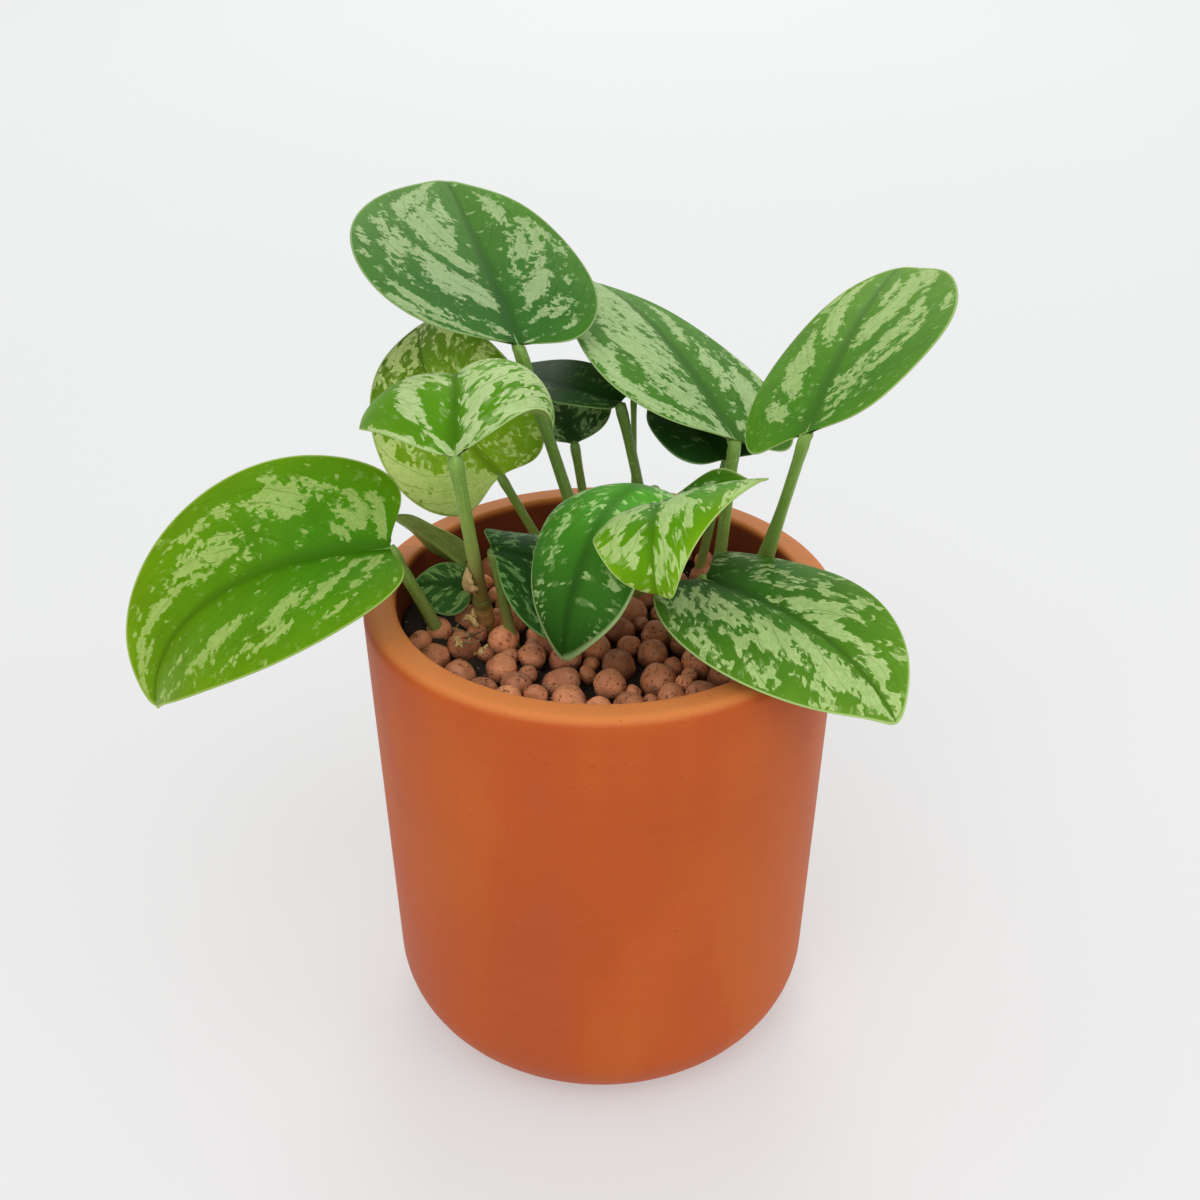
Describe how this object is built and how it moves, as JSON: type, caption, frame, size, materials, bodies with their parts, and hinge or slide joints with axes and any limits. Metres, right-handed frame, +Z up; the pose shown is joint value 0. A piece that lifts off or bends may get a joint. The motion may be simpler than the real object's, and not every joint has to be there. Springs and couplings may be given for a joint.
{
  "type": "satin pothos in a terracotta pot",
  "caption": "Satin pothos with silver-marked heart-shaped leaves on slender stalks, growing from clay pebbles in a plain round terracotta pot.",
  "frame": {"origin": "centre of the pot's flat underside", "axes": "+Z up; +X towards the right of the reference view, so the widest leaf hangs over the -X side; +Y away from the viewer"},
  "size_m": [0.2393, 0.1824, 0.2446],
  "materials": {
    "terracotta": "satin, unglazed",
    "potting_soil": "dark crumbly potting soil",
    "clay_pebbles": "matt baked clay",
    "leaf": "satin leaf with silver markings",
    "stem": "dry ringed stem"
  },
  "bodies": {
    "root": {"pot": "terracotta", "potting_soil": "potting_soil", "clay_pebbles": "clay_pebbles", "stem_ringed": "stem", "leaf_crown": "leaf", "leaf_left_upright": "leaf", "leaf_saddle": "leaf", "leaf_broad_silver": "leaf", "leaf_far_right": "leaf", "leaf_far_left": "leaf", "leaf_front_right": "leaf", "leaf_front_dark": "leaf", "leaf_front_curled": "leaf", "leaf_middle_back": "leaf", "leaf_low_back": "leaf", "leaf_under_silver": "leaf", "leaf_left_rising": "leaf", "leaf_left_low": "leaf", "leaf_inner_shade": "leaf", "leaf_young_back": "leaf"}
  },
  "joints": []
}
